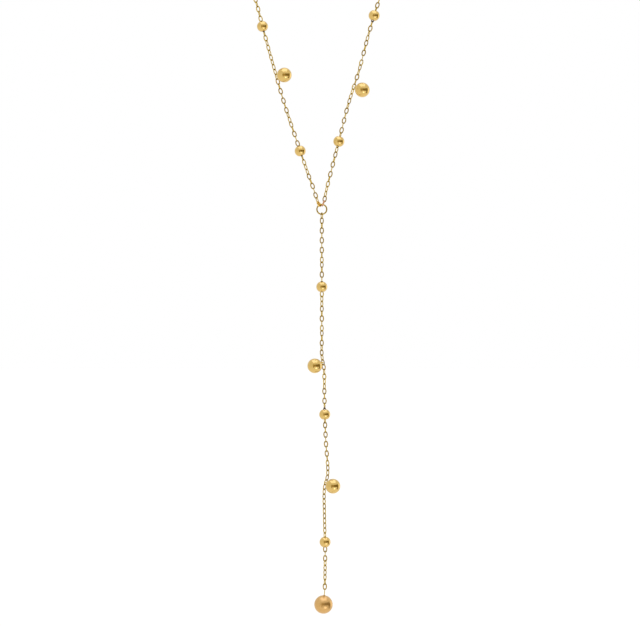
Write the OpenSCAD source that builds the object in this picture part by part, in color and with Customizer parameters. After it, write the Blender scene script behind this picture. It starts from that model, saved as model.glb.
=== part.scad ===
// Y necklace. A fine trace chain runs round the neck in one closed loop. Its two strands meet at a
// small ring on the chest, and a free drop hangs from that ring. Round beads are threaded on the
// chain, and larger balls hang beside it. Millimetres, +Z up, and the front faces -Y. The origin is
// the middle of the clasp, at the nape. Heights on the front are measured from the ring's level.

/* [Chain] */
// Diameter of the wire of a chain link
chain_wire = 0.22; // [0.2:0.01:0.23]
// Width of a chain link over its wires
link_w = 1.1; // [1.06:0.02:1.12]
// Length of a chain link over its wires
link_l = 1.92; // [1.9:0.01:1.94]
// Diameter of the wire of the two stouter links that hold the ring
end_link_wire = 0.28; // [0.26:0.01:0.29]
// Width of those two links over their wires
end_link_w = 1.32; // [1.3:0.01:1.34]
// Length of those two links over their wires
end_link_l = 1.9; // [1.88:0.01:1.92]

/* [Ring] */
// Outside diameter of the ring that joins the strands
ring_d = 3; // [2.8:0.1:3.2]
// Diameter of the ring's wire
ring_wire = 0.35; // [0.3:0.01:0.36]
// Depth of the ring's level below the clasp
ring_drop = 105; // [104:1:106]
// Distance of the ring and the drop in front of the clasp
front = 104; // [103:1:105]

/* [Beads and balls] */
// Diameter of a threaded bead
bead_d = 3; // [2.8:0.1:3.2]
// Bore of a threaded bead
bead_bore = 1.38; // [1.36:0.01:1.44]
// Diameter of a ball that hangs beside the chain
ball_d = 4; // [3.8:0.1:4.1]
// Diameter of the ball at the end of the drop
end_ball_d = 5; // [4.8:0.1:5.2]
// Diameter of the wire of a ball's eye
eye_wire = 0.22; // [0.2:0.01:0.24]
// Inside diameter of the round eye of a hanging ball
eye_d = 0.72; // [0.68:0.02:0.76]
// Length over its wires of the long eye of the end ball
end_eye_l = 2.08; // [2.02:0.02:2.12]

/* [Clasp] */
// Length of the clasp's body
clasp_l = 7; // [6:0.5:8]
// Diameter of the clasp's body
clasp_d = 2.4; // [2:0.1:2.8]
// Outside diameter of the eye at each end of the clasp
clasp_eye_d = 1.9; // [1.7:0.1:2]
// Diameter of the wire of those eyes
clasp_eye_wire = 0.3; // [0.26:0.02:0.34]

/* [Hidden] */

gold = "#E3B763";
wire_fn = 16;
arc_fn = 48;
ball_fn = 96;

// How far the ring's centre hangs below its level
ring_low = 0.17;

// Routes of the chain, each from the ring outward, through points chosen along it.
// Columns: x, y forward of the clasp, z above the ring's level.
left_points = [
  [-1, -front - 0.35, 1.55], [-1.64, -front - 0.25, 3.5], [-2.46, -front - 0.1, 6],
  [-3.5, -front, 8.8], [-6.9, -front, 18.7], [-10, -front, 28],
  [-13, -front, 38.3], [-15.7, -front, 48], [-17.9, -front, 56.4], [-21.5, -101.5, 67],
  [-28.5, -94, 79], [-39, -81, 90], [-48, -64, 97.5], [-52.5, -46, 101.5], [-49, -27, 104],
  [-36.5, -10.5, 105], [-20, -2, 105], [-4.3, 0, 105]
];
right_points = [
  [0.61, -front, 1.7], [1.04, -front, 4.1], [2.2, -front, 8.9], [4.7, -front, 18.6],
  [7.1, -front, 28], [10.1, -front, 37.5], [12.6, -front, 47], [15.5, -front, 56.4],
  [19.5, -101.5, 67],
  [27, -94, 79], [38.5, -81, 90], [48, -64, 97.5], [52.5, -46, 101.5], [49, -27, 104],
  [36.5, -10.5, 105], [20, -2, 105], [4.3, 0, 105]
];
drop_points = [
  [0, -front, -1.3], [0, -front, -12], [0, -front, -24], [0, -front, -35], [0, -front, -39.5],
  [0.6, -front, -43.5], [0.7, -front, -50], [0.8, -front, -56], [1.1, -front, -63],
  [1.6, -front, -71.5], [0.7, -front, -75.5], [0.7, -front, -82], [0.9, -front, -92],
  [0.8, -front, -103]
];

// The middle of the neck, which the links' faces look away from
neck_y = -front / 2;
// How far to each side of a place the direction of the chain is read
near = 0.3;
// Straight pieces that the curve between two route points is split into
fine = 12;

function unit(v) = v / norm(v);
function from_ring(points) = [for (p = points) p - [0, 0, ring_drop]];

// The direction of the smooth curve at a route point, from its neighbours on both sides
function heading(p, i) =
  let (before = p[max(i - 1, 0)], after = p[min(i + 1, len(p) - 1)])
  (after - before) / (norm(p[i] - before) + norm(after - p[i]));

// A point of the cubic that joins route points i and i + 1
function between(p, i, t) =
  let (a = p[i], b = p[i + 1], span = norm(b - a))
  (2 * t ^ 3 - 3 * t ^ 2 + 1) * a + (t ^ 3 - 2 * t ^ 2 + t) * span * heading(p, i)
  + (3 * t ^ 2 - 2 * t ^ 3) * b + (t ^ 3 - t ^ 2) * span * heading(p, i + 1);

function curve(p) = [
  for (i = [0:len(p) - 2]) for (k = [0:fine - 1]) between(p, i, k / fine),
  p[len(p) - 1]
];

function lengths(c) = [
  for (i = 0, s = 0; i < len(c); s = s + norm(c[min(i + 1, len(c) - 1)] - c[i]), i = i + 1) s
];

// Tables of distance along a curve against x, y and z
function tables(c) = let (s = lengths(c)) [for (k = [0:2]) [for (i = [0:len(c) - 1]) [s[i], c[i][k]]]];
function total(route) = route[0][len(route[0]) - 1][0];
function at(route, s) = [for (k = [0:2]) lookup(s, route[k])];
function along(route, s) = unit(at(route, s + near) - at(route, s - near));

// Axes across a link, out of its face and along it. The link points along t, and its face is turned
// about t from the side that looks out.
function facing(t, out, turn) =
  let (n = unit(out - (out * t) * t), w = cross(n, t))
  [w * cos(turn) + n * sin(turn), n * cos(turn) - w * sin(turn), t];
function axes(route, s, turn) =
  let (p = at(route, s)) facing(along(route, s), [p.x, p.y - neck_y, 0], turn);

module place(p, a) {
  multmatrix([
    [a[0].x, a[1].x, a[2].x, p.x],
    [a[0].y, a[1].y, a[2].y, p.y],
    [a[0].z, a[1].z, a[2].z, p.z],
    [0, 0, 0, 1]
  ]) children();
}

left = tables(curve(from_ring(left_points)));
right = tables(curve(from_ring(right_points)));
drop = tables(curve(from_ring(drop_points)));

// Where the links sit. Columns: link, its distance along the route
left_marks = [[1, 0.8], [41, 54.8], [68, 90.9]];
right_marks = [[1, 0.95], [10, 13.25], [21, 28.2], [36, 48.6], [41, 55.14], [68, 91.04]];
drop_marks = [
  [0, 0.59], [1, 1.96], [26, 34.95], [38, 50.63], [40, 53.34], [51, 67.45], [65, 85.75],
  [77, 100.9]
];

// Twist of the chain, which comes on top of the quarter turn between two links.
// Columns: link, degrees that its face is turned from the side that looks out
left_twist = [
  [1, 30], [2, 4], [4, 6], [5, 20], [6, 24], [8, 55], [9, 62], [10, 80], [12, 90], [15, 96], [18, 143],
  [20, 176], [24, 188], [25, 206], [26, 207], [28, 240], [34, 254], [35, 268], [68, 270]
];
right_twist = [
  [1, 104], [2, 124], [3, 146], [5, 163], [6, 180], [8, 183], [9, 195], [10, 200], [11, 218],
  [13, 240], [15, 253], [17, 270], [19, 275], [21, 299], [24, 327], [26, 352], [30, 438],
  [33, 463], [35, 508], [37, 540], [41, 620], [45, 630], [68, 630]
];
drop_twist = [
  [0, 64], [1, 66], [4, 85], [8, 100], [11, 165], [15, 185], [16, 203], [17, 222], [19, 240],
  [21, 270], [22, 275], [25, 345], [30, 318], [31, 296], [33, 292], [34, 305], [36, 345],
  [38, 360], [42, 430], [45, 450], [50, 462], [51, 487], [52, 500], [55, 498], [65, 495],
  [68, 456], [70, 450], [71, 462], [72, 488], [73, 495], [75, 495], [77, 450]
];

// The end links. Columns: middle, direction it points in, degrees that its face is turned
left_end = [[-0.78, -front - 0.16, 1.25], [-0.56, -0.49, 0.67], 55];
right_end = [[0.4, -front, 1.43], [0.42, -0.03, 0.91], 90];

// Distances of the threaded beads along their routes
left_beads = [14.85, 50];
right_beads = [16.94, 52.24];
drop_beads = [19.8, 54.3, 88.9];

// Hanging balls. Columns: link that carries it, side of that link, x and z of the ball's centre
left_hung = [27, -1, -10.1, 35.93];
right_hung = [24, -1, 10.9, 31.95];
drop_hung = [[30, -1, -1.9, -42.4], [55, -1, 3, -74.8]];
// How far down a link's side a ball's eye slips
eye_slip = 0.08;
// How deep an eye is soldered into its ball
solder = 0.12;

// Room between two links, or a link and what it holds
play = 0.1;
// The same over the last link, which the end ball's eye crosses at a slant
end_play = 0.11;
// How far the end ball leans sideways from its link
end_lean = 5;

// The tubes that stand for the chain round the neck
neck_chain_d = 1.1;
neck_rings = 40;
neck_sides = 8;

function lerp(a, b, t) = a + (b - a) * t;
function last(marks) = marks[len(marks) - 1];
function station(marks, i) = lookup(i, marks);
function turn(twist, i) = 90 * (i % 2) + lookup(i, twist);

// An oval of round wire, standing along Z with its face along Y
module oval(wire, width, length) {
  r = (width - wire) / 2;
  straight = length - width;
  for (end = [0, 180])
    rotate([0, end, 0])
      translate([0, 0, straight / 2])
        rotate([90, 0, 0])
          rotate_extrude(angle = 180, $fn = arc_fn)
            translate([r, 0]) circle(d = wire, $fn = wire_fn);
  for (side = [-1, 1])
    translate([side * r, 0, 0])
      cylinder(d = wire, h = straight, center = true, $fn = wire_fn);
}

module link() oval(chain_wire, link_w, link_l);

module chain(route, marks, twist) {
  for (i = [marks[0][0]:last(marks)[0]])
    let (s = station(marks, i)) place(at(route, s), axes(route, s, turn(twist, i))) link();
}

module end_link(end) {
  place(end[0] - [0, 0, ring_drop], facing(unit(end[1]), [0, -1, 0], end[2]))
    oval(end_link_wire, end_link_w, end_link_l);
}

module bead(route, s) {
  color(gold)
    place(at(route, s), axes(route, s, 0))
      difference() {
        sphere(d = bead_d, $fn = ball_fn);
        cylinder(d = bead_bore, h = 2 * bead_d, center = true, $fn = arc_fn);
      }
}

// A ball beside the chain, with a round eye soldered to it that holds the side of one link.
// The ball's depth follows from the reach of the eye.
module hanging_ball(route, marks, twist, hung) {
  s = station(marks, hung[0]);
  a = axes(route, s, turn(twist, hung[0]));
  down = a[2] * sign(-a[2].z);
  eye = at(route, s) + a[0] * hung[1] * (link_w - chain_wire) / 2 + down * eye_slip;
  reach = (ball_d + eye_d) / 2 + eye_wire - solder;
  across = [hung[2] - eye.x, hung[3] - ring_drop - eye.z];
  ball = eye + [across.x, -sqrt(reach ^ 2 - across * across), across.y];
  d = unit(ball - eye);
  up = unit(down - (down * d) * d);
  color(gold) {
    translate(ball) sphere(d = ball_d, $fn = ball_fn);
    place(eye, [d, cross(up, d), up])
      rotate_extrude($fn = arc_fn)
        translate([(eye_d + eye_wire) / 2, 0]) circle(d = eye_wire, $fn = wire_fn);
  }
}

module y_ring() {
  color(gold)
    translate([0, -front, -ring_drop - ring_low])
      rotate([90, 0, 0])
        rotate_extrude($fn = ball_fn)
          translate([(ring_d - ring_wire) / 2, 0]) circle(d = ring_wire, $fn = wire_fn);
}

module left_chain() {
  color(gold) {
    end_link(left_end);
    chain(left, left_marks, left_twist);
  }
}

module right_chain() {
  color(gold) {
    end_link(right_end);
    chain(right, right_marks, right_twist);
  }
}

module drop_chain() color(gold) chain(drop, drop_marks, drop_twist);

// A tube along a route from the end of its links to the clasp's eye
module neck_chain(route, marks) {
  from = last(marks)[1] + link_l / 2 + 2 * play;
  to = total(route) - clasp_eye_d / 2 - 2 * play;
  rings = [
    for (k = [0:neck_rings - 1])
      let (s = lerp(from, to, k / (neck_rings - 1)), a = axes(route, s, 0), p = at(route, s))
      for (j = [0:neck_sides - 1])
        p + neck_chain_d / 2 * (a[0] * cos(360 * j / neck_sides) + a[1] * sin(360 * j / neck_sides))
  ];
  end = neck_sides * (neck_rings - 1);
  color(gold)
    polyhedron(
      points = rings,
      faces = [
        [for (j = [0:neck_sides - 1]) j],
        for (k = [0:neck_rings - 2]) for (j = [0:neck_sides - 1])
          let (a = neck_sides * k + j, b = neck_sides * k + (j + 1) % neck_sides)
          [a, a + neck_sides, b + neck_sides, b],
        [for (j = [neck_sides - 1:-1:0]) end + j]
      ]
    );
}

module left_neck_chain() neck_chain(left, left_marks);
module right_neck_chain() neck_chain(right, right_marks);

// The end ball hangs by a long eye from the bottom of the drop's last link
module end_ball() {
  s = last(drop_marks)[1];
  hinge = at(drop, s) + along(drop, s) * (link_l - chain_wire) / 2;
  eye_z = -(end_eye_l - chain_wire) / 2 + eye_wire + end_play;
  color(gold)
    translate(hinge)
      rotate([0, end_lean, 0]) {
        translate([0, 0, eye_z]) rotate([0, 0, 90]) oval(eye_wire, link_w, end_eye_l);
        translate([0, 0, eye_z - end_eye_l / 2 + solder - end_ball_d / 2])
          sphere(d = end_ball_d, $fn = ball_fn);
      }
}

// A plain barrel across the nape with an eye at each end
module clasp() {
  bevel = clasp_d / 4;
  color(gold)
    for (side = [0, 180])
      rotate([0, 0, side]) {
        rotate([0, 90, 0]) {
          cylinder(d = clasp_d, h = clasp_l / 2 - bevel, $fn = ball_fn);
          translate([0, 0, clasp_l / 2 - bevel])
            cylinder(d1 = clasp_d, d2 = clasp_d - 2 * bevel, h = bevel, $fn = ball_fn);
        }
        translate([(clasp_l + clasp_eye_d - clasp_eye_wire) / 2, 0, 0])
          rotate([90, 0, 0])
            rotate_extrude($fn = arc_fn)
              translate([(clasp_eye_d - clasp_eye_wire) / 2, 0])
                circle(d = clasp_eye_wire, $fn = wire_fn);
      }
}

y_ring();
left_chain();
right_chain();
drop_chain();
left_neck_chain();
right_neck_chain();
bead(left, left_beads[0]);  // left_bead_1
bead(left, left_beads[1]);  // left_bead_2
bead(right, right_beads[0]);  // right_bead_1
bead(right, right_beads[1]);  // right_bead_2
bead(drop, drop_beads[0]);  // drop_bead_1
bead(drop, drop_beads[1]);  // drop_bead_2
bead(drop, drop_beads[2]);  // drop_bead_3
hanging_ball(left, left_marks, left_twist, left_hung);  // left_hanging_ball
hanging_ball(right, right_marks, right_twist, right_hung);  // right_hanging_ball
hanging_ball(drop, drop_marks, drop_twist, drop_hung[0]);  // drop_hanging_ball_1
hanging_ball(drop, drop_marks, drop_twist, drop_hung[1]);  // drop_hanging_ball_2
end_ball();
clasp();
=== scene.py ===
import math
from bisect import bisect

import bmesh
import bpy
from mathutils import Matrix, Vector
from mathutils.geometry import interpolate_bezier


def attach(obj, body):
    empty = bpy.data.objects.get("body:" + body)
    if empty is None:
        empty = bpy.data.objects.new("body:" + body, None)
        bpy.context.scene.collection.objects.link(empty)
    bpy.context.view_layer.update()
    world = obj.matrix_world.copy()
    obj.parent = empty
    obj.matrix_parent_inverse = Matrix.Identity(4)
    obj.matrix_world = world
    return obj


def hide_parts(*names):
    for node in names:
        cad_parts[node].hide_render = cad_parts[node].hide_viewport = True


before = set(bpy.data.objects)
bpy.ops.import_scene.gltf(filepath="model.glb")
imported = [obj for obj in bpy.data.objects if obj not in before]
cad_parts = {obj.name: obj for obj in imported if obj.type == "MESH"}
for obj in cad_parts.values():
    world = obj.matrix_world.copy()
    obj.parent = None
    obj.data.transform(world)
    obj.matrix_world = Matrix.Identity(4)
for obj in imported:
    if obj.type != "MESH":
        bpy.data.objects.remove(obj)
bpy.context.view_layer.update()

mm = 0.001  # every shape is drawn in millimetres and brought to metres when it is finished
print("frame loaded")

# Camera and studio

view = {
    "lens": 150,            # mm, long enough to flatten the depth between strand and drop
    "sensor": 36,           # mm
    "frameWidth": 172.8,    # mm of the front plane that the picture shows
    "centre": (-0.49, -104, -133.16),  # mm, what the middle of the picture looks at
    "farthest": 200,        # m that the camera sees, past the end of the floor
}


def setCamera():
    data = bpy.data.cameras.new("productCamera")
    data.lens = view["lens"]
    data.sensor_width = view["sensor"]
    data.clip_end = view["farthest"]
    camera = bpy.data.objects.new("productCamera", data)
    bpy.context.scene.collection.objects.link(camera)
    away = view["frameWidth"] * view["lens"] / view["sensor"]
    camera.location = (Vector(view["centre"]) - Vector((0, away, 0))) * mm
    camera.rotation_euler = (math.radians(90), 0, 0)
    bpy.context.scene.camera = camera


setCamera()


def srgb(code):
    # A colour picked on the screen, as the linear values that the shaders work in
    def linear(c):
        return c / 12.92 if c <= 0.04045 else ((c + 0.055) / 1.055) ** 2.4
    return tuple(linear(int(code[i:i + 2], 16) / 255) for i in (1, 3, 5)) + (1.0,)


def addNode(tree, kind, settings=None, inputs=None):
    node = tree.nodes.new(kind)
    for name, value in (settings or {}).items():
        setattr(node, name, value)
    for socket, value in (inputs or {}).items():
        if isinstance(value, bpy.types.NodeSocket):
            tree.links.new(value, node.inputs[socket])
        else:
            node.inputs[socket].default_value = value
    return node


def newMaterial(name):
    material = bpy.data.materials.new(name)
    material.use_nodes = True
    tree = material.node_tree
    tree.nodes.clear()
    shader = addNode(tree, "ShaderNodeBsdfPrincipled")
    addNode(tree, "ShaderNodeOutputMaterial", inputs={"Surface": shader.outputs[0]})
    return material, tree, shader


studio = {
    "world": "#FFFFFF",
    "worldStrength": 1.0,
    "floorDepth": 1000,        # mm below the clasp, so that the necklace hangs clear of it
    "floorSize": 80000,        # mm, past the horizon of the picture
    "floor": "#F4F3F1",
    "floorRough": 0.9,         # matt paper
    "floorGlow": 0.16,         # lifts the pale floor to the white of the background
    "aim": (0, -104, -133),    # mm, the middle of the part that the picture shows
    "cardFar": 1100,           # mm from the aim to the dark cards
    "cardSteps": 24,           # straight pieces round the bend of a card
    "cardTones": ["#B2A172", "#8D7E52"],
    # Dark cards round the camera. Columns: azimuth from and to, to the right of the camera,
    # and elevation from and to, all in degrees as the necklace sees them, and tone
    "cards": [
        (-29, 14, -12, 22, 0),
        (14, 92, -12, 22, 1),
        (-25, -12, -29, -12, 0),
        (72, 96, -38, -12, 1),
    ],
    # Soft boxes. Columns: azimuth, elevation, distance and side in mm, radiance, colour
    "boxes": [
        (15, 84, 1300, 1500, 1.25, "#C8CFFF"),
        (27, -37, 900, 290, 2.5, "#D8DCFF"),
        (118, 0, 1300, 800, 0.5, "#FFFDF8"),
    ],
}


def direction(azimuth, elevation):
    a, e = math.radians(azimuth), math.radians(elevation)
    return Vector((math.sin(a) * math.cos(e), -math.cos(a) * math.cos(e), math.sin(e)))


def buildStudio():
    scene = bpy.context.scene
    scene.view_settings.view_transform = "Standard"
    world = bpy.data.worlds.new("whiteRoom")
    world.use_nodes = True
    ground = world.node_tree.nodes["Background"]
    ground.inputs["Color"].default_value = srgb(studio["world"])
    ground.inputs["Strength"].default_value = studio["worldStrength"]
    scene.world = world

    bm = bmesh.new()
    bmesh.ops.create_grid(bm, x_segments=1, y_segments=1, size=studio["floorSize"] / 2 * mm)
    bmesh.ops.translate(bm, verts=bm.verts, vec=(0, 0, -studio["floorDepth"] * mm))
    mesh = bpy.data.meshes.new("floor")
    bm.to_mesh(mesh)
    bm.free()
    floor = bpy.data.objects.new("floor", mesh)
    scene.collection.objects.link(floor)
    material, _, shader = newMaterial("whitePaperSweep")
    shader.inputs["Base Color"].default_value = srgb(studio["floor"])
    shader.inputs["Roughness"].default_value = studio["floorRough"]
    shader.inputs["Emission Color"].default_value = srgb(studio["floor"])
    shader.inputs["Emission Strength"].default_value = studio["floorGlow"]
    mesh.materials.append(material)

    # The cards stand behind the camera, and show only in the gold, as the dark arch in each ball
    mesh = bpy.data.meshes.new("darkCards")
    for i, tone in enumerate(studio["cardTones"]):
        material, _, shader = newMaterial(f"brownFeltCard{i + 1}")
        shader.inputs["Base Color"].default_value = srgb(tone)
        shader.inputs["Roughness"].default_value = 1.0
        shader.inputs["Specular IOR Level"].default_value = 0.0
        mesh.materials.append(material)
    bm = bmesh.new()
    for start, end, low, high, tone in studio["cards"]:
        foot = [bm.verts.new(direction(start, 0) * studio["cardFar"] + Vector((0, 0, h)))
                for h in (math.tan(math.radians(low)) * studio["cardFar"],
                          math.tan(math.radians(high)) * studio["cardFar"])]
        edge = bm.edges.new(foot)
        old = set(bm.faces)
        bmesh.ops.spin(bm, geom=foot + [edge], cent=(0, 0, 0), axis=(0, 0, 1),
                       angle=math.radians(end - start), steps=studio["cardSteps"],
                       use_duplicate=False)
        for face in set(bm.faces) - old:
            face.material_index = tone
    bmesh.ops.translate(bm, verts=bm.verts, vec=studio["aim"])
    bmesh.ops.scale(bm, verts=bm.verts, vec=(mm, mm, mm))
    bm.to_mesh(mesh)
    bm.free()
    cards = bpy.data.objects.new("darkCards", mesh)
    cards.visible_camera = False
    cards.visible_shadow = False
    cards.visible_diffuse = False
    scene.collection.objects.link(cards)

    for i, (azimuth, elevation, far, side, radiance, colour) in enumerate(studio["boxes"]):
        light = bpy.data.lights.new(f"softBox{i + 1}", "AREA")
        light.size = side * mm
        light.energy = radiance * math.pi * (side * mm) ** 2
        light.color = srgb(colour)[:3]
        box = bpy.data.objects.new(light.name, light)
        box.visible_camera = False
        out = direction(azimuth, elevation)
        box.location = (Vector(studio["aim"]) + out * far) * mm
        box.rotation_euler = out.to_track_quat("Z", "Y").to_euler()
        scene.collection.objects.link(box)


buildStudio()
print("camera and studio set")

# Materials

plating = {
    "hazeFrom": 0.3,           # the part of a noise's range over which dull turns to clear
    "hazeTo": 0.7,
    "waver": 1.3,              # mm from wave to wave of an unevenly buffed ball
    "waverHeight": 0.02,       # mm
    "waverStrength": 0.25,
    "grain": 0.25,             # mm, of drawn wire, far coarser than the real one so that it shows
    "grainHeight": 0.006,      # mm
    "grainStrength": 0.2,
    "paintedShadeBlack": "#6E5206",  # painted shade, near black, in the mouths of the beads and where the drop hooks into the ring
}


def platedBall(name, dull, clear, rough, smudge):
    # Ball of brass, polished and gold plated. The smudges that its handling left are a little
    # duller than the metal round them, and the reflections waver where the buffing was uneven
    material, tree, shader = newMaterial(name)
    place = addNode(tree, "ShaderNodeTexCoord")
    haze = addNode(tree, "ShaderNodeTexNoise", inputs={
        "Vector": place.outputs["Object"], "Scale": 1 / (smudge * mm), "Detail": 3.0})
    tone = addNode(tree, "ShaderNodeValToRGB", inputs={"Fac": haze.outputs["Fac"]})
    tone.color_ramp.elements[0].position = plating["hazeFrom"]
    tone.color_ramp.elements[0].color = srgb(dull)
    tone.color_ramp.elements[1].position = plating["hazeTo"]
    tone.color_ramp.elements[1].color = srgb(clear)
    haziness = addNode(tree, "ShaderNodeMapRange", inputs={
        "Value": haze.outputs["Fac"], "To Min": rough[0], "To Max": rough[1],
        "From Min": plating["hazeFrom"], "From Max": plating["hazeTo"]})
    waver = addNode(tree, "ShaderNodeTexNoise", inputs={
        "Vector": place.outputs["Object"], "Scale": 1 / (plating["waver"] * mm), "Detail": 1.0})
    bump = addNode(tree, "ShaderNodeBump", inputs={
        "Strength": plating["waverStrength"], "Distance": plating["waverHeight"] * mm,
        "Height": waver.outputs["Fac"]})
    tree.links.new(tone.outputs["Color"], shader.inputs["Base Color"])
    tree.links.new(haziness.outputs["Result"], shader.inputs["Roughness"])
    tree.links.new(bump.outputs["Normal"], shader.inputs["Normal"])
    shader.inputs["Metallic"].default_value = 1.0
    return material


def platedWire(name, dull, clear, bent, rough):
    # Drawn brass wire, bent, soldered, rolled and gold plated: duller than the balls, and with a
    # painted shade, browner, inside the bends where the links overlap
    material, tree, shader = newMaterial(name)
    place = addNode(tree, "ShaderNodeTexCoord")
    grain = addNode(tree, "ShaderNodeTexNoise", inputs={
        "Vector": place.outputs["Object"], "Scale": 1 / (plating["grain"] * mm), "Detail": 2.0})
    bend = addNode(tree, "ShaderNodeAttribute", {"attribute_name": "bend"})
    tone = addNode(tree, "ShaderNodeMix", {"data_type": "RGBA"}, {
        "Factor": grain.outputs["Fac"], "A": srgb(dull), "B": srgb(clear)})
    dark = addNode(tree, "ShaderNodeMix", {"data_type": "RGBA"}, {
        "Factor": bend.outputs["Fac"], "A": tone.outputs["Result"], "B": srgb(bent)})
    # Above 1 the attribute stands for the near black painted shade in the mouth of a bead and
    # where the drop hooks into the ring
    beyond = addNode(tree, "ShaderNodeMath", {"operation": "SUBTRACT"}, {
        0: bend.outputs["Fac"], 1: 1.0})
    deepShade = addNode(tree, "ShaderNodeMix", {"data_type": "RGBA"}, {
        "Factor": beyond.outputs[0], "A": dark.outputs["Result"],
        "B": srgb(plating["paintedShadeBlack"])})
    haziness = addNode(tree, "ShaderNodeMapRange", inputs={
        "Value": grain.outputs["Fac"], "To Min": rough[0], "To Max": rough[1],
        "From Min": plating["hazeFrom"], "From Max": plating["hazeTo"]})
    bump = addNode(tree, "ShaderNodeBump", inputs={
        "Strength": plating["grainStrength"], "Distance": plating["grainHeight"] * mm,
        "Height": grain.outputs["Fac"]})
    tree.links.new(deepShade.outputs["Result"], shader.inputs["Base Color"])
    tree.links.new(haziness.outputs["Result"], shader.inputs["Roughness"])
    tree.links.new(bump.outputs["Normal"], shader.inputs["Normal"])
    shader.inputs["Metallic"].default_value = 1.0
    return material


# Each ball gold: its name, dull and clear colour, roughness from and to, and mm across a smudge.
# Mirror bright: the even pale gold of the beads and small balls
ballGold = platedBall("polishedGoldPlateOnBrass", "#D1B066", "#D9B872", (0.06, 0.11), 0.9)
# Buffed but not polished: the end ball, browner and with soft reflections
satinGold = platedBall("buffedGoldPlateOnBrass", "#CBA162", "#D3AA6D", (0.25, 0.32), 1.2)
# Each wire gold: its name, dull and clear colour, colour of the painted shade in the bends,
# roughness from and to.
# The olive gold of the links, whose rolled faces flash like small mirrors
wireGold = platedWire("rolledGoldPlatedWire", "#CAAA32", "#D8B83E", "#80661A", (0.12, 0.2))
# The end links are thicker and were polished apart, one of them down to the copper under its gold
jumpGold = platedWire("polishedGoldPlatedWire", "#EABF58", "#F2CC6C", "#C49A40", (0.08, 0.14))
rubbedGold = platedWire("rubbedGoldPlateOnCopper", "#D9A070", "#E0AC7C", "#9A6238", (0.12, 0.2))
print("materials made")

# Route of the chain, through the same points as the solids, in millimetres

path = {
    "front": 104,       # how far the ring hangs in front of the clasp
    "drop": 105,        # how far it hangs below the clasp
    "neckMiddle": -52,  # y of the middle of the neck
    "fine": 12,         # straight pieces between two points
    "near": 0.3,        # how far to each side the direction is read
}
front = path["front"]
leftPoints = [
    (-1, -front - 0.35, 1.55), (-1.64, -front - 0.25, 3.5), (-2.46, -front - 0.1, 6),
    (-3.5, -front, 8.8), (-6.9, -front, 18.7), (-10, -front, 28),
    (-13, -front, 38.3), (-15.7, -front, 48), (-17.9, -front, 56.4), (-21.5, -101.5, 67),
    (-28.5, -94, 79), (-39, -81, 90), (-48, -64, 97.5), (-52.5, -46, 101.5), (-49, -27, 104),
    (-36.5, -10.5, 105), (-20, -2, 105), (-4.3, 0, 105),
]
rightPoints = [
    (0.61, -front, 1.7), (1.04, -front, 4.1), (2.2, -front, 8.9), (4.7, -front, 18.6),
    (7.1, -front, 28), (10.1, -front, 37.5), (12.6, -front, 47), (15.5, -front, 56.4),
    (19.5, -101.5, 67),
    (27, -94, 79), (38.5, -81, 90), (48, -64, 97.5), (52.5, -46, 101.5), (49, -27, 104),
    (36.5, -10.5, 105), (20, -2, 105), (4.3, 0, 105),
]
dropPoints = [
    (0, -front, -1.3), (0, -front, -12), (0, -front, -24), (0, -front, -35), (0, -front, -39.5),
    (0.6, -front, -43.5), (0.7, -front, -50), (0.8, -front, -56), (1.1, -front, -63),
    (1.6, -front, -71.5), (0.7, -front, -75.5), (0.7, -front, -82), (0.9, -front, -92),
    (0.8, -front, -103),
]


def heading(points, i):
    # The direction of the smooth curve at a point, from its neighbours on both sides
    before = points[max(i - 1, 0)]
    after = points[min(i + 1, len(points) - 1)]
    return (after - before) / ((points[i] - before).length + (after - points[i]).length)


def layRoute(listed):
    # The curve through the points, and how far along it each of its own points lies
    points = [Vector(p) - Vector((0, 0, path["drop"])) for p in listed]
    line = [points[0]]
    for i in range(len(points) - 1):
        third = (points[i + 1] - points[i]).length / 3
        line += interpolate_bezier(
            points[i], points[i] + heading(points, i) * third,
            points[i + 1] - heading(points, i + 1) * third, points[i + 1], path["fine"] + 1)[1:]
    reached = [0.0]
    for a, b in zip(line, line[1:]):
        reached.append(reached[-1] + (b - a).length)
    return {"line": line, "reached": reached}


def at(route, s):
    reached = route["reached"]
    k = min(max(bisect(reached, s) - 1, 0), len(reached) - 2)
    share = (s - reached[k]) / (reached[k + 1] - reached[k])
    return route["line"][k].lerp(route["line"][k + 1], min(max(share, 0), 1))


def seatAlong(p, t, out, turn):
    # A place at p whose axes run across a link, out of its face and along t, turned about t
    n = (out - out.dot(t) * t).normalized()
    w = n.cross(t)
    a = math.radians(turn)
    return seatAt(p, w * math.cos(a) + n * math.sin(a), n * math.cos(a) - w * math.sin(a), t)


def seat(route, s, turn=0.0):
    # A place on the route that faces away from the middle of the neck, turned about the chain
    p = at(route, s)
    t = (at(route, s + path["near"]) - at(route, s - path["near"])).normalized()
    return seatAlong(p, t, Vector((p.x, p.y - path["neckMiddle"], 0)), turn)


def seatAt(p, x, y, z):
    matrix = Matrix((x, y, z)).transposed().to_4x4()
    matrix.translation = p
    return matrix


left = layRoute(leftPoints)
right = layRoute(rightPoints)
drop = layRoute(dropPoints)
long = [route["reached"][-1] for route in (left, right, drop)]
print(f"routes laid: {long[0]:.1f}, {long[1]:.1f} and {long[2]:.1f} mm")

# Where the links sit. Columns: link, its distance along the route
leftMarks = [(1, 0.8), (41, 54.8), (68, 90.9)]
rightMarks = [(1, 0.95), (10, 13.25), (21, 28.2), (36, 48.6), (41, 55.14), (68, 91.04)]
dropMarks = [
    (0, 0.59), (1, 1.96), (26, 34.95), (38, 50.63), (40, 53.34), (51, 67.45), (65, 85.75),
    (77, 100.9),
]
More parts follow.
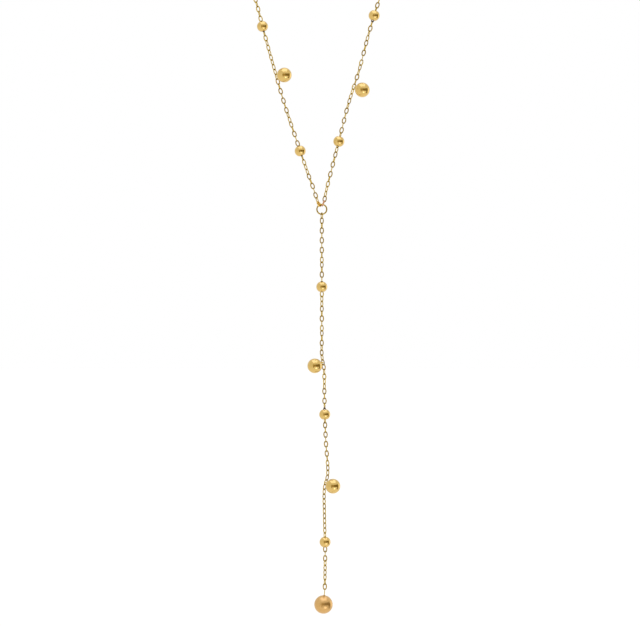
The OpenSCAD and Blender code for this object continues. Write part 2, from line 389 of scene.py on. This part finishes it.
# Twist of the chain, on top of the quarter turn between two links. Columns: link, degrees that
# its face is turned from the front
leftTwist = [
    (1, 30), (2, 4), (4, 6), (5, 20), (6, 24), (8, 55), (9, 62), (10, 80), (12, 90), (15, 96),
    (18, 143), (20, 176), (24, 188), (25, 206), (26, 207), (28, 240), (34, 254), (35, 268),
    (68, 270),
]
rightTwist = [
    (1, 104), (2, 124), (3, 146), (5, 163), (6, 180), (8, 183), (9, 195), (10, 200), (11, 218),
    (13, 240), (15, 253), (17, 270), (19, 275), (21, 299), (24, 327), (26, 352), (30, 438),
    (33, 463), (35, 508), (37, 540), (41, 620), (45, 630), (68, 630),
]
dropTwist = [
    (0, 64), (1, 66), (4, 85), (8, 100), (11, 165), (15, 185), (16, 203), (17, 222), (19, 240),
    (21, 270), (22, 275), (25, 345), (30, 318), (31, 296), (33, 292), (34, 305), (36, 345),
    (38, 360), (42, 430), (45, 450), (50, 462), (51, 487), (52, 500), (55, 498), (65, 495),
    (68, 456), (70, 450), (71, 462), (72, 488), (73, 495), (75, 495), (77, 450),
]
# End links. Columns: middle, the direction it points in, degrees that its face is turned
leftEnd = ((-0.78, -front - 0.16, 1.25), (-0.56, -0.49, 0.67), 55)
rightEnd = ((0.4, -front, 1.43), (0.42, -0.03, 0.91), 90)


def lookUp(table, i):
    for (i0, v0), (i1, v1) in zip(table, table[1:]):
        if i <= i1:
            return v0 + (v1 - v0) * (i - i0) / (i1 - i0)
    return table[-1][1]


def turnOf(table, i):
    return 90 * (i % 2) + lookUp(table, i)


# Shared steps of making

weld = 0.0005  # mm, below which two points are one
same = 0.001   # mm, below which two places are the same


def finishPiece(bm, name, nodes, body, materials, smooth=True):
    bmesh.ops.remove_doubles(bm, verts=bm.verts, dist=weld)
    bmesh.ops.recalc_face_normals(bm, faces=bm.faces)
    bmesh.ops.scale(bm, verts=bm.verts, vec=(mm, mm, mm))
    for face in bm.faces:
        face.smooth = smooth or face.smooth
    mesh = bpy.data.meshes.new(name)
    bm.to_mesh(mesh)
    bm.free()
    for material in materials:
        mesh.materials.append(material)
    piece = bpy.data.objects.new(name, mesh)
    bpy.context.scene.collection.objects.link(piece)
    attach(piece, body)
    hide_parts(*nodes)


def edgesOf(geometry):
    return [g for g in geometry if isinstance(g, bmesh.types.BMEdge)]


def vertsOf(geometry):
    return [g for g in geometry if isinstance(g, bmesh.types.BMVert)]


def quarter(axis):
    return Matrix.Rotation(math.pi / 2, 3, axis)


def wireSection(bm, wire, sides, middle):
    # The outline of the wire's cross section, turned by half a side
    turned = Matrix.Translation(middle) @ Matrix.Rotation(math.pi / sides, 4, "Z")
    made = bmesh.ops.create_circle(bm, segments=sides, radius=wire / 2, matrix=turned)
    return made["verts"] + list(dict.fromkeys(e for v in made["verts"] for e in v.link_edges))


def bendOval(bm, wire, width, length, sides, steps):
    # Round wire bent to an oval that stands along Z with its face along Y
    reach = (width - wire) / 2
    half = (length - width) / 2
    old = set(bm.verts)
    start = wireSection(bm, wire, sides, (reach, 0, half))
    over = bmesh.ops.spin(bm, geom=start, cent=(0, 0, half), axis=(0, -1, 0),
                          angle=math.pi, steps=steps, use_duplicate=False)["geom_last"]
    down = bmesh.ops.extrude_edge_only(bm, edges=edgesOf(over))["geom"]
    bmesh.ops.translate(bm, verts=vertsOf(down), vec=(0, 0, -2 * half))
    under = bmesh.ops.spin(bm, geom=vertsOf(down) + edgesOf(down), cent=(0, 0, -half),
                           axis=(0, -1, 0), angle=math.pi, steps=steps,
                           use_duplicate=False)["geom_last"]
    bmesh.ops.bridge_loops(bm, edges=edgesOf(under) + edgesOf(start))
    return [v for v in bm.verts if v not in old]


def bendRing(bm, wire, width, sides, steps):
    # Round wire bent to a ring about the Y axis
    old = set(bm.verts)
    start = wireSection(bm, wire, sides, ((width - wire) / 2, 0, 0))
    bmesh.ops.spin(bm, geom=start, cent=(0, 0, 0), axis=(0, -1, 0), angle=2 * math.pi, steps=steps,
                   use_merge=True, use_duplicate=False)
    return [v for v in bm.verts if v not in old]


def markWire(bm, verts):
    # Gives these points' faces the piece's second material
    chosen = set(verts)
    for face in bm.faces:
        if face.verts[0] in chosen:
            face.material_index = 1


# Chains

chain = {
    "wire": 0.27,        # mm, as thick as the photo shows it, so that the links touch
    "width": 1.16,
    "length": 1.9,
    "oval": 0.65,        # from 0, a link with straight sides, to 1, an ellipse
    "thin": 0.74,        # thickness of a link from front to back, as a share of its wire
    "broad": 1.16,       # breadth of its sides, as a share of its wire
    "tip": 0.94,         # breadth of its ends
    "endWire": 0.4,      # the stouter link that holds the ring, which isn't rolled
    "endWidth": 1.32,
    "endLength": 1.9,
    "sides": 6,          # of the wire
    "steps": 6,          # of each bend
    "flat": 0.9,         # how squarely a face must look to the front to stay flat
    "darkFrom": 0.45,    # share of the way to a link's tip where the painted shade of its bends starts
    "darkOver": 0.4,     # share of the way over which it grows
    "bare": 0.4,         # how much of the painted shade in the bends is left on their outside
    "black": 2,          # the attribute at its blackest, the painted shade in a bead's mouth
    "mouth": 1,          # mm round the middle of a bead's mouth in which a link can take the black painted shade
    "shadeReach": 0.24,       # mm along the chain that the black painted shade reaches
}


def swell(verts, wire, width, length, thin):
    # Moves each section of a straight-sided oval towards the ellipse, square to the wire, and
    # flattens the wire as a roller does
    a, b = (width - wire) / 2, (length - wire) / 2
    share = chain["oval"]
    for v in verts:
        side = 1 if v.co.z > 0 else -1
        x, z = v.co.x, max(abs(v.co.z) - (b - a), 0)
        far = math.hypot(x, z)
        c, d = x / far, z / far
        root = math.hypot(a * c, b * d)
        out = (far - a) * (chain["broad"] * abs(c) + chain["tip"] * d) / (abs(c) + d)
        v.co.x = c * (a + out) + share * (a * a * c / root - a * c)
        v.co.z = side * (d * (a + out) + b - a + share * (b * b * d / root - a * d - (b - a)))
        v.co.y *= thin / math.cos(math.pi / chain["sides"])


def makeLink(bm, layer, wire, width, length, thin):
    verts = bendOval(bm, wire, width, length, chain["sides"], chain["steps"])
    swell(verts, wire, width, length, thin)
    for v in verts:
        # How far into a bend a point lies, and so its painted shade, from 0 along the sides to 1 at
        # the seat of the next link
        far = abs(v.co.z)
        ends = min(max((far * 2 / length - chain["darkFrom"]) / chain["darkOver"], 0), 1)
        inside = min(max(((length - wire) / 2 + wire / 3 - far) / (wire / 2), chain["bare"]), 1)
        v[layer] = ends * inside
    # The rolled front and back stay flat and mirror like a facet, and the edges are rounded
    for face in {f for v in verts for f in v.link_faces}:
        face.normal_update()
        face.smooth = abs(face.normal.y) < chain["flat"]
    return verts


def inMouth(point, mouth):
    if (point - mouth.translation).length >= chain["mouth"]:
        return False
    return abs((mouth.inverted() @ point).z) < chain["shadeReach"]


def makeChain(name, node, places, end=None, endGold=None, mouths=()):
    bm = bmesh.new()
    layer = bm.verts.layers.float.new("bend")
    for matrix in places:
        verts = makeLink(bm, layer, chain["wire"], chain["width"], chain["length"], chain["thin"])
        bmesh.ops.transform(bm, matrix=matrix, verts=verts)
    if end:
        middle, aim, turn = end
        verts = makeLink(bm, layer, chain["endWire"], chain["endWidth"], chain["endLength"], 1)
        place = Vector(middle) - Vector((0, 0, path["drop"]))
        matrix = seatAlong(place, Vector(aim).normalized(), Vector((0, -1, 0)), turn)
        bmesh.ops.transform(bm, matrix=matrix, verts=verts)
        markWire(bm, verts)
    # The links in the mouths of the beads take the near black painted shade
    for v in bm.verts:
        if any(inMouth(v.co, mouth) for mouth in mouths):
            v[layer] = chain["black"]
    gold = [wireGold] + ([endGold] if end else [])
    finishPiece(bm, name, [node], "necklace", gold, smooth=False)


def frontPlaces(route, marks, table):
    links = range(marks[0][0], marks[-1][0] + 1)
    return [seat(route, lookUp(marks, i), turnOf(table, i)) for i in links]


# The mouths of beads, where the links take a near black painted shade, by their distance along the
# route
leftMouths = [seat(left, s) for s in (13.4, 48.45)]
rightMouths = [seat(right, 50.76)]
dropMouths = [seat(drop, 52.62)]
makeChain("leftChain", "left_chain", frontPlaces(left, leftMarks, leftTwist),
          leftEnd, jumpGold, leftMouths)
makeChain("rightChain", "right_chain", frontPlaces(right, rightMarks, rightTwist),
          rightEnd, rubbedGold, rightMouths)
makeChain("dropChain", "drop_chain", frontPlaces(drop, dropMarks, dropTwist), mouths=dropMouths)
print("front chains linked")

neck = {
    "links": 95,       # from the last link of a strand to the clasp
    "clearEye": 1.29,  # mm from the middle of the clasp's eye to the middle of the last link
    "twist": 90,       # degrees over the whole stretch, so that the last link fits the eye
}


def neckPlaces(route, marks, table):
    last, start = marks[-1]
    end = route["reached"][-1] - neck["clearEye"]
    places = []
    for k in range(1, neck["links"] + 1):
        share = k / neck["links"]
        turn = 90 * ((last + k) % 2) + table[-1][1] + neck["twist"] * share
        places.append(seat(route, start + (end - start) * share, turn))
    return places


makeChain("leftNeckChain", "left_neck_chain", neckPlaces(left, leftMarks, leftTwist))
makeChain("rightNeckChain", "right_neck_chain", neckPlaces(right, rightMarks, rightTwist))
print("neck chains linked")

# Ring that joins the strands

ring = {
    "wire": 0.38,
    "width": 3.03,
    "low": 0.17,       # how far its middle hangs below its level
    "dimAllOver": 0.45,      # how near its gold comes, evenly all round, to the colour of the painted shade in the bends of the links
    "hook": 0.4,       # mm round the drop's first link that are darker still, with painted shade
    "hookDark": 1.3,   # the attribute there
    "sides": 16,
    "steps": 64,
}


def makeRing():
    bm = bmesh.new()
    layer = bm.verts.layers.float.new("bend")
    verts = bendRing(bm, ring["wire"], ring["width"], ring["sides"], ring["steps"])
    hook = Vector((0, 0, (ring["wire"] - ring["width"]) / 2))
    # Painted shade where the drop's first link hooks into the ring, and an even darkening elsewhere
    for v in verts:
        v[layer] = ring["hookDark"] if (v.co - hook).length < ring["hook"] else ring["dimAllOver"]
    bmesh.ops.translate(bm, verts=verts, vec=(0, -path["front"], -path["drop"] - ring["low"]))
    finishPiece(bm, "yRing", ["y_ring"], "necklace", [wireGold])


makeRing()
print("ring made")

# Beads and balls

bead = {
    "across": 3,
    "bore": 1.38,
    "lip": 0.09,       # how far the edge of the bore is rounded
    "lipSteps": 3,
    "segments": 64,
    "rings": 40,
}


def makeBead(name, node, route, s):
    # A half arc from lip to lip, closed by the wall of the bore, turned about the hole
    bm = bmesh.new()
    r = bead["across"] / 2
    hole = bead["bore"] / 2
    rise = math.acos(hole / r)
    top = bm.verts.new((hole, 0, r * math.sin(rise)))
    arc = bmesh.ops.spin(bm, geom=[top], cent=(0, 0, 0), axis=(0, 1, 0), angle=2 * rise,
                         steps=bead["rings"], use_duplicate=False)["geom_last"]
    bm.edges.new((vertsOf(arc)[0], top))
    bmesh.ops.spin(bm, geom=bm.verts[:] + bm.edges[:], cent=(0, 0, 0), axis=(0, 0, 1),
                   angle=2 * math.pi, steps=bead["segments"], use_merge=True, use_duplicate=False)
    bmesh.ops.remove_doubles(bm, verts=bm.verts, dist=weld)
    rims = [e for e in bm.edges if all(abs(v.co.xy.length - hole) < same for v in e.verts)
            and abs(e.verts[0].co.z - e.verts[1].co.z) < same]
    bmesh.ops.bevel(bm, geom=rims, offset=bead["lip"], affect="EDGES", segments=bead["lipSteps"],
                    profile=0.5, material=-1)
    bmesh.ops.transform(bm, matrix=seat(route, s), verts=bm.verts)
    finishPiece(bm, name, [node], "necklace", [ballGold])


# Distances of the beads along their routes
beads = [
    ("left", left, (14.85, 50)),
    ("right", right, (16.94, 52.24)),
    ("drop", drop, (19.8, 54.3, 88.9)),
]
for strand, route, distances in beads:
    for i, s in enumerate(distances):
        makeBead(f"{strand}Bead{i + 1}", f"{strand}_bead_{i + 1}", route, s)
print("beads threaded")

ball = {
    "across": 4,
    "eyeWire": 0.22,
    "eye": 0.72,         # inside the eye
    "beside": 0.44,      # from the middle of its link to the eye on its side wire
    "slip": 0.08,        # how far down the side of its link the eye hangs
    "solder": 0.12,      # how deep the eye is let into the ball
    "foot": 2,           # width of the solder round the eye's foot, in wires of the eye
    "fillet": 0.07,      # thickness of that solder
    "footSides": 8,
    "footSteps": 24,
    "wireSides": 12,
    "eyeSteps": 32,
    "segments": 64,
    "rings": 40,
}


def turnBall(bm, across, segments, rings):
    made = bmesh.ops.create_uvsphere(bm, u_segments=segments, v_segments=rings, radius=across / 2)
    return made["verts"]


def solderFoot(bm, across, width, thick):
    # A thin bead of solder round the foot of an eye, on a ball centred under it
    old = set(bm.verts)
    height = math.sqrt((across / 2) ** 2 - (width / 2) ** 2)
    start = wireSection(bm, 2 * thick, ball["footSides"], (0, 0, 0))
    bmesh.ops.rotate(bm, verts=vertsOf(start), cent=(0, 0, 0), matrix=quarter("X"))
    bmesh.ops.translate(bm, verts=vertsOf(start), vec=(width / 2, 0, height))
    bmesh.ops.spin(bm, geom=start, cent=(0, 0, 0), axis=(0, 0, 1), angle=2 * math.pi,
                   steps=ball["footSteps"], use_merge=True, use_duplicate=False)
    return [v for v in bm.verts if v not in old]


def makeHangingBall(name, node, route, marks, table, hung):
    link, side, x, z = hung
    s = lookUp(marks, link)
    place = seat(route, s, turnOf(table, link))
    across, along = place.col[0].xyz, place.col[2].xyz
    down = -along if along.z > 0 else along
    eye = at(route, s) + across * side * ball["beside"] + down * ball["slip"]
    # The ball's x and z are given, and the reach of its eye sets how far in front it hangs
    reach = (ball["across"] + ball["eye"]) / 2 + ball["eyeWire"] - ball["solder"]
    dx, dz = x - eye.x, z - path["drop"] - eye.z
    centre = eye + Vector((dx, -math.sqrt(reach ** 2 - dx ** 2 - dz ** 2), dz))
    inward = (centre - eye).normalized()
    up = (down - down.dot(inward) * inward).normalized()
    bm = bmesh.new()
    bm.verts.layers.float.new("bend")
    shell = turnBall(bm, ball["across"], ball["segments"], ball["rings"])
    foot = solderFoot(bm, ball["across"], ball["eyeWire"] * ball["foot"], ball["fillet"])
    bmesh.ops.transform(bm, matrix=seatAt(centre, up, up.cross(inward), -inward),
                        verts=shell + foot)
    loop = bendRing(bm, ball["eyeWire"], ball["eye"] + 2 * ball["eyeWire"],
                    ball["wireSides"], ball["eyeSteps"])
    bmesh.ops.rotate(bm, verts=loop, cent=(0, 0, 0), matrix=quarter("X"))
    bmesh.ops.transform(bm, matrix=seatAt(eye, inward, up.cross(inward), up), verts=loop)
    markWire(bm, loop)
    finishPiece(bm, name, [node], "necklace", [ballGold, wireGold])


# Columns: link that carries the ball, side of that link, x and z of the ball's centre
leftHung = (27, -1, -10.1, 35.93)
rightHung = (24, -1, 10.9, 31.95)
dropHung = [(30, -1, -1.9, -42.4), (55, -1, 3, -74.8)]
makeHangingBall("leftHangingBall", "left_hanging_ball", left, leftMarks, leftTwist, leftHung)
makeHangingBall("rightHangingBall", "right_hanging_ball", right, rightMarks, rightTwist, rightHung)
makeHangingBall("dropHangingBall1", "drop_hanging_ball_1", drop, dropMarks, dropTwist, dropHung[0])
makeHangingBall("dropHangingBall2", "drop_hanging_ball_2", drop, dropMarks, dropTwist, dropHung[1])
print("balls hung")

endBall = {
    "across": 5,
    "eyeLength": 2.08,
    "eyeWidth": 1.1,
    "eyeWire": 0.22,
    "below": 0.85,       # how far along the drop the hinge lies from the middle of the last link
    "above": 0.44,       # how far the top of the eye lies above the hinge
    "solder": 0.12,
    "foot": 2.4,
    "lean": 5,           # degrees sideways
    "wireSides": 12,
    "eyeSteps": 16,
    "segments": 96,
    "rings": 60,
}


def makeEndBall():
    # The ball and its eye are made hanging straight below the hinge, and then leant sideways
    bm = bmesh.new()
    bm.verts.layers.float.new("bend")
    last = seat(drop, dropMarks[-1][1])
    hinge = last.translation + last.col[2].xyz * endBall["below"]
    eyeZ = -endBall["eyeLength"] / 2 + endBall["above"]
    ballZ = eyeZ - endBall["eyeLength"] / 2 + endBall["solder"] - endBall["across"] / 2
    loop = bendOval(bm, endBall["eyeWire"], endBall["eyeWidth"], endBall["eyeLength"],
                    endBall["wireSides"], endBall["eyeSteps"])
    bmesh.ops.rotate(bm, verts=loop, cent=(0, 0, 0), matrix=quarter("Z"))
    bmesh.ops.translate(bm, verts=loop, vec=(0, 0, eyeZ))
    shell = turnBall(bm, endBall["across"], endBall["segments"], endBall["rings"])
    foot = solderFoot(bm, endBall["across"], endBall["eyeWire"] * endBall["foot"], ball["fillet"])
    bmesh.ops.translate(bm, verts=shell + foot, vec=(0, 0, ballZ))
    markWire(bm, loop)
    bmesh.ops.rotate(bm, verts=bm.verts, cent=(0, 0, 0),
                     matrix=Matrix.Rotation(math.radians(endBall["lean"]), 3, "Y"))
    bmesh.ops.translate(bm, verts=bm.verts, vec=hinge)
    finishPiece(bm, "endBall", ["end_ball"], "end_drop", [satinGold, wireGold])


makeEndBall()
print("end ball hung")

# Clasp

clasp = {
    "long": 7,
    "across": 2.4,
    "eye": 1.9,       # outside the eye at each end
    "eyeWire": 0.3,
    "wireSides": 12,
    "eyeSteps": 40,
    "shoulder": 0.6,  # how far each end of the barrel is rounded
    "shoulderSteps": 5,
    "segments": 64,
}


def makeClasp():
    # A plain turned barrel across the nape with rounded ends and an eye in each
    bm = bmesh.new()
    bm.verts.layers.float.new("bend")
    radius = clasp["across"] / 2
    bmesh.ops.create_cone(bm, cap_ends=True, segments=clasp["segments"], radius1=radius,
                          radius2=radius, depth=clasp["long"])
    bmesh.ops.rotate(bm, verts=bm.verts, cent=(0, 0, 0), matrix=quarter("Y"))
    rims = [e for e in bm.edges if abs(e.verts[0].co.x - e.verts[1].co.x) < same]
    bmesh.ops.bevel(bm, geom=rims, offset=clasp["shoulder"], affect="EDGES",
                    segments=clasp["shoulderSteps"], profile=0.5, material=-1)
    reach = (clasp["long"] + clasp["eye"] - clasp["eyeWire"]) / 2
    for side in (-1, 1):
        loop = bendRing(bm, clasp["eyeWire"], clasp["eye"], clasp["wireSides"], clasp["eyeSteps"])
        bmesh.ops.translate(bm, verts=loop, vec=(side * reach, 0, 0))
        markWire(bm, loop)
    finishPiece(bm, "claspBarrel", ["clasp"], "necklace", [ballGold, wireGold])


makeClasp()
print("clasp made")
